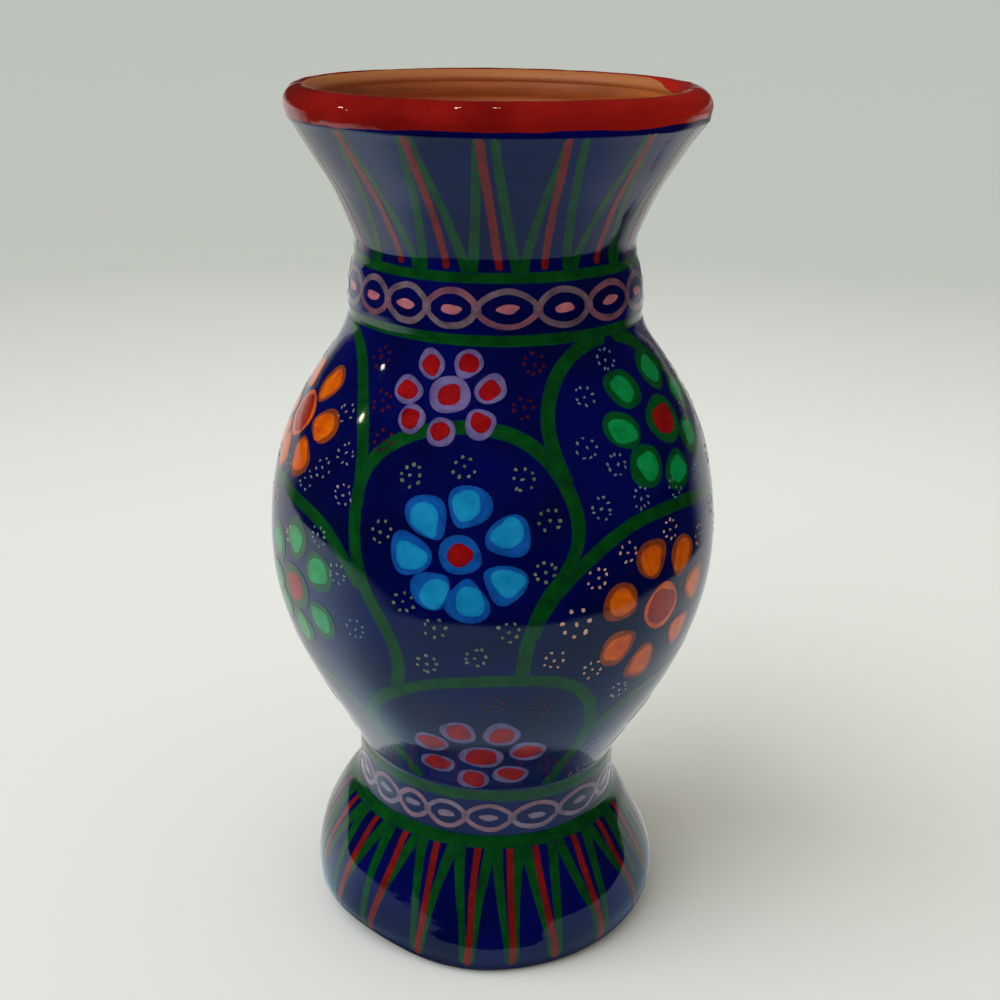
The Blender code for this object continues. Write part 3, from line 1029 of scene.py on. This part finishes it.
chains = dict(
    neck_chain=dict(height=190.3, reach=4.3, width=1.6, strokes=("mauve", "taupe"),
                    dot="dusk_pink", dotSize=(5.6, 2.3), knotSize=(1.1, 1.0),
                    seen=[-60, -42.5, -25, -6.5, 15.5, 36, 58]),
    foot_chain=dict(height=44.6, reach=3.9, width=1.5, strokes=("pale_mauve", "faded_rose"),
                    dot="pale_mauve", dotSize=(5.4, 2.2), knotSize=(1.5, 1.3),
                    seen=[-58, -40.5, -25.5, -8.5, 11.5, 33.5, 58]),
)
unseenLinks = 12
chainHand = dict(up=(-0.15, 0.15), rarer=0.35, dotUp=(-0.3, 0.3), dotTurn=(-6, 6), dotPinch=(-0.3, 0.3))
bandLines = [(182.6, 3.0), (197.7, 2.7), (52.0, 3.8), (37.2, 3.8)]  # height and width in mm
bandSway = dict(up=0.35, waves=1.6)
# half a link, from one crossing over the top to the next, in shares of its half length and of its reach
linkShape = [(-1.12, -0.26), (-0.95, 0.24), (-0.72, 0.62), (-0.38, 0.91), (0, 1.0), (0.38, 0.91),
             (0.72, 0.62), (0.95, 0.24), (1.12, -0.26)]


def aroundTheBack(seen, count):
    # the marks in view, then evenly spaced ones that close the circle behind
    step = (seen[0] + 360 - seen[-1]) / (count + 1)
    return seen + [seen[-1] + step * (i + 1) for i in range(count)]


def paintChain(name, chain):
    canvas = newCanvas()
    rarer, dot, knot, usual = range(4)
    crossings = aroundTheBack(chain["seen"], unseenLinks)
    for first, last in zip(crossings, crossings[1:] + [crossings[0] + 360]):
        middle, half = (first + last) / 2, (last - first) / 2
        for side in (1, -1):
            path = []
            for along, up in linkShape:
                height = chain["height"] + side * chain["reach"] * up + dice.uniform(*chainHand["up"])
                path.append((middle + half * along, height))
            hue = rarer if dice.random() < chainHand["rarer"] else usual
            layer = 3.5 if side > 0 else 4.2
            layStroke(canvas, path, chain["width"], hue, layer, parts=30, uneven=0.25)
        at = (middle, chain["height"] + dice.uniform(*chainHand["dotUp"]))
        turn, pinch = dice.uniform(*chainHand["dotTurn"]), dice.uniform(*chainHand["dotPinch"])
        layDab(canvas, dabPattern, at, chain["dotSize"], dot, layer=3, turn=turn, pinch=pinch, rough=0.05)
        at = (first, chain["height"])
        layDab(canvas, fleckPattern, at, chain["knotSize"], knot, layer=5, rough=0.06)
    finishPainting(name, canvas, [chain["strokes"][0], chain["dot"], "faded_rose", chain["strokes"][1]])


def paintBandLines():
    canvas = newCanvas()
    for height, width in bandLines:
        path = []
        for angle in range(-180, 181, 10):
            sway = noise(Vector((*pointing(angle) * bandSway["waves"], height)))
            path.append((angle, height + bandSway["up"] * sway))
        layStroke(canvas, path, width, paint=0, layer=3.2, parts=240, ends=False)
    finishPainting("collar_lines", canvas, ["leaf_green"])


# Rays of the neck and of the foot: a red stroke between two green ones. red is the angle of each at its top
# and its foot, and beside is how far from it the greens begin, to the left and to the right

rays = dict(
    neck_rays=dict(red=[(-43.5, -37.5), (-23, -18), (-4, 2), (18, 19), (43, 42.5)], hidden=12,
                   redSpan=(232.5, 199.5), redWidth=(2.3, 1.9),
                   greenSpan=(232.5, 198), greenWidth=(2.3, 2.5),
                   beside=[(0.8, 1.3), (1.0, 1.4), (0.6, 3.7), (0.0, 4.5), (1.8, 0.4)],
                   partDown=True, bow=1.3, aside=1.0),
    foot_rays=dict(red=[(-67, -73), (-49.5, -58), (-33.5, -42.5), (-19, -22.7), (-2, -5.3), (11, 9.3),
                        (21.5, 24), (39.5, 42), (55, 62)], hidden=14,
                   redSpan=(37, 3.4), redWidth=(2.0, 2.2), greenSpan=(37.5, 4.0), greenWidth=(3.4, 1.7),
                   beside=[(1.4, 1.4)], partDown=False, bow=1.5, aside=0.0),
)
rayShares = (0, 0.2, 0.4, 0.6, 0.8, 1)
rayHand = dict(lean=(-2.5, 2.5), bend=(-0.5, 0.5), curve=1.2, gap=0.9)


def paintRays(name, fan):
    canvas = newCanvas()
    tops = aroundTheBack([top for top, bottom in fan["red"]], fan["hidden"])
    leans = [bottom - top for top, bottom in fan["red"]]
    leans += [dice.uniform(*rayHand["lean"]) for i in range(fan["hidden"])]
    bottoms = [top + lean for top, lean in zip(tops, leans)]
    # the greens leave the red at their start and meet the next ray's at their end
    starts, ends = (tops, bottoms) if fan["partDown"] else (bottoms, tops)
    count = len(tops)
    for i in range(count):
        top, bottom = tops[i], bottoms[i]
        high, low = fan["redSpan"]
        bend = dice.uniform(*rayHand["bend"])
        path = [(top + (bottom - top) * t ** rayHand["curve"] + bend * sin(pi * t), high + (low - high) * t)
                for t in rayShares]
        layStroke(canvas, path, width=1, paint=0, layer=2.4, parts=30, taper=fan["redWidth"])
        high, low = fan["greenSpan"]
        for side in (-1, 1):
            other = ends[(i + side) % count] + 360 * ((i + side) // count)
            between = (ends[i] + other) / 2 - side * rayHand["gap"] - fan["aside"]
            near = starts[i] + side * fan["beside"][i % len(fan["beside"])][side > 0]
            path = []
            for t in rayShares:
                mix = (t if fan["partDown"] else 1 - t) ** fan["bow"]
                path.append((near + (between - near) * mix, high + (low - high) * t))
            layer = 1.0 if side > 0 else 1.7
            layStroke(canvas, path, width=1, paint=1, layer=layer, parts=30, taper=fan["greenWidth"])
    finishPainting(name, canvas, ["signal_red", "leaf_green"])


paintArches()
paintFlowers()
paintSprinkles()
paintBandLines()
for name, chain in chains.items():
    paintChain(name, chain)
for name, fan in rays.items():
    paintRays(name, fan)


# Stage: pale floor, soft light, and what the varnish mirrors

stage = dict(
    near="#e6e6e2", far="#bec1bb",  # the floor by the vase and well behind it
    fade=(0.2, 1.15),  # distances between which the one turns into the other
    floorReach=14.0,
    backdrop="#c0c3bb",  # beyond the floor's end, from any other side
    front=0.465, left=1.08, leftBack=0.78, right=0.68,  # brightness of the floor in the varnish, by side
    frontTint=(0.70, 1.0, 1.1, 1), sideTint=(0.97, 1.0, 0.97, 1),
    turnBack=(-0.5, 0.6),  # how far round the tint changes, as the cosine from straight behind
    pool=(0.0, 0.06, 0), poolEnd=(0.315, 0.345),  # the lit floor round the vase ends here
    lobe=(-0.30, 0.14, 0), lobeEnd=(0.31, 0.40),  # further to the left
    behind=(0.40, 0.70),  # and on behind the vase
    farRight=0.25, farAway=(0.8, 1.6),
    dark=0.026,  # share of that brightness beyond it
    contact=(0.047, 0.056),  # the vase's own shade on the floor
    ambient=0.60, ambientColour=(1.0, 0.975, 0.88, 1),
    strip=0.38, stripBack=(0.6, 0.75), stripTop=0.08,  # a low pale strip far behind, in the varnish only
    unlit=0.02,  # and all the rest that it mirrors
    sun=2.15, sunSpread=62, sunAt=(-63, 46), sunColour=(0.88, 0.945, 1.0),
    bulbs=dict(bulb=(-91, 27, 0.25), ceiling_bulb=(-55, 76, 0.4), far_ceiling_bulb=(0, 84, 0.3)),
    bulbSize=0.05, bulbAway=1.5, bulbLift=0.15, bulbColour=(1.0, 0.9, 0.7),
)


def paintedFloorReflection(add, coords, away):
    # painted reflection: for mirrored rays the floor glows, bright by the foot and dark in front, where the
    # studio is unlit
    fromPool = add("VectorMath", [coords, stage["pool"]], operation="DISTANCE")
    fromLobe = add("VectorMath", [coords, stage["lobe"]], operation="DISTANCE")
    way = add("VectorMath", [coords], operation="NORMALIZE")
    axes = add("SeparateXYZ", [way]).node.outputs
    sideways, backward = axes["X"], axes["Y"]
    shares = dict(whole=1.0)
    for name, value, span, before, after in (
        ("pool", fromPool.node.outputs["Value"], stage["poolEnd"], 1.0, stage["dark"]),
        ("lobe", fromLobe.node.outputs["Value"], stage["lobeEnd"], 1.0, stage["dark"]),
        ("behind", backward, stage["behind"], stage["dark"], 1.0),
        ("farAway", away, stage["farAway"], 0.0, 1 - stage["farRight"]),
        ("toRight", sideways, (-0.02, 0.12), 0.0, 1.0),
        ("across", sideways, (-0.35, 0.35), 0.0, 1.0),
        ("turned", backward, stage["turnBack"], 0.0, 1.0),
        ("frontLeft", backward, (-0.65, -0.05), stage["front"], stage["left"]),
        ("backLeft", backward, (0.0, 0.6), 1.0, stage["leftBack"] / stage["left"]),
        ("right", backward, (-0.5, 0.4), stage["front"], stage["right"]),
        ("contact", away, stage["contact"], 0.05, 1.0),
    ):
        shares[name] = add("MapRange", [value, *span, before, after], interpolation_type="SMOOTHSTEP")
    for name, operation, first, second in (
        ("lit", "MAXIMUM", "pool", "behind"),
        ("lit", "MAXIMUM", "lit", "lobe"),
        ("left", "MULTIPLY", "frontLeft", "backLeft"),
        ("farRight", "MULTIPLY", "farAway", "toRight"),
        ("near", "SUBTRACT", "whole", "farRight"),
    ):
        shares[name] = add("Math", [shares[first], shares[second]], operation=operation)
    level = add("Mix", {0: shares["across"], 2: shares["left"], 3: shares["right"]}, data_type="FLOAT")
    for name in ("lit", "near", "contact"):
        level = add("Math", [level, shares[name]], operation="MULTIPLY")
    tint = add("Mix", {0: shares["turned"], 6: stage["frontTint"], 7: stage["sideTint"]}, data_type="RGBA")
    return add("Emission", {"Color": tint, "Strength": level})


def makeFloor():
    # matt paper, a little cloudy, paler by the vase and darker far off: a painted falloff of the light
    pickNothing()
    bpy.ops.mesh.primitive_plane_add(size=2 * stage["floorReach"], location=(0, 0, 0))
    floor = bpy.context.object
    floor.name = "floor"
    material, add, shader, coords = newMaterial("pale_paper")
    away = add("VectorMath", [coords], operation="LENGTH").node.outputs["Value"]
    cloud = add("TexNoise", {"Vector": coords, "Scale": 2.0, "Detail": 2.0})
    fade = add("MapRange", [away, *stage["fade"]], interpolation_type="SMOOTHSTEP")
    mottled = add("Math", [cloud, 0.2, fade], operation="MULTIPLY_ADD", use_clamp=True)
    tone = add("Mix", {0: mottled, 6: stage["near"], 7: stage["far"]}, data_type="RGBA")
    setInputs(shader, {"Base Color": tone, "Roughness": 0.9, "Specular IOR Level": 0.1})
    glossy = add("LightPath").node.outputs["Is Glossy Ray"]
    either = add("MixShader", [glossy, shader.outputs[0], paintedFloorReflection(add, coords, away)])
    setInputs(material.node_tree.nodes["Material Output"], {"Surface": either})
    floor.data.materials.append(material)


def makeWorld():
    world = bpy.data.worlds.new("soft_studio")
    bpy.context.scene.world = world
    world.use_nodes = True
    add = partial(addNode, world.node_tree)
    axes = add("SeparateXYZ", [add("TexCoord")]).node.outputs
    back = add("MapRange", [axes["Y"], *stage["stripBack"], 0.0, stage["strip"]])
    low = add("MapRange", [axes["Z"], 0.0, stage["stripTop"], 1.0, 0.0])
    strip = add("Math", [back, low, stage["unlit"]], operation="MULTIPLY_ADD")
    path = add("LightPath").node.outputs
    ambient = add("Mix", {0: path["Is Glossy Ray"], 2: stage["ambient"], 3: strip}, data_type="FLOAT")
    seen = path["Is Camera Ray"]
    colour = add("Mix", {0: seen, 6: stage["ambientColour"], 7: stage["backdrop"]}, data_type="RGBA")
    strength = add("Mix", {0: seen, 2: ambient, 3: 1.0}, data_type="FLOAT")
    setInputs(world.node_tree.nodes["Background"], {"Color": colour, "Strength": strength})


def addLamp(name, kind, at, away, lift=0):
    # at is (azimuth, elevation): azimuth from the front, to the right
    side, up = radians(at[0]), radians(at[1])
    way = Vector((sin(side) * cos(up), -cos(side) * cos(up), sin(up)))
    bpy.ops.object.light_add(type=kind, location=way * away + Vector((0, 0, lift)))
    lamp = bpy.context.object
    lamp.name = name
    lamp.rotation_euler = way.to_track_quat("Z", "Y").to_euler()
    return lamp


def makeLamps():
    softbox = addLamp("softbox", "SUN", stage["sunAt"], away=2)
    softbox.data.energy = stage["sun"]
    softbox.data.angle = radians(stage["sunSpread"])
    softbox.data.color = stage["sunColour"]
    softbox.visible_glossy = False
    for name, (azimuth, elevation, power) in stage["bulbs"].items():
        bulb = addLamp(name, "AREA", (azimuth, elevation), stage["bulbAway"], stage["bulbLift"])
        bulb.data.size = stage["bulbSize"]
        bulb.data.energy = power
        bulb.data.color = stage["bulbColour"]


makeFloor()
makeWorld()
makeLamps()
bpy.context.scene.view_settings.view_transform = "Standard"
print("stage set")
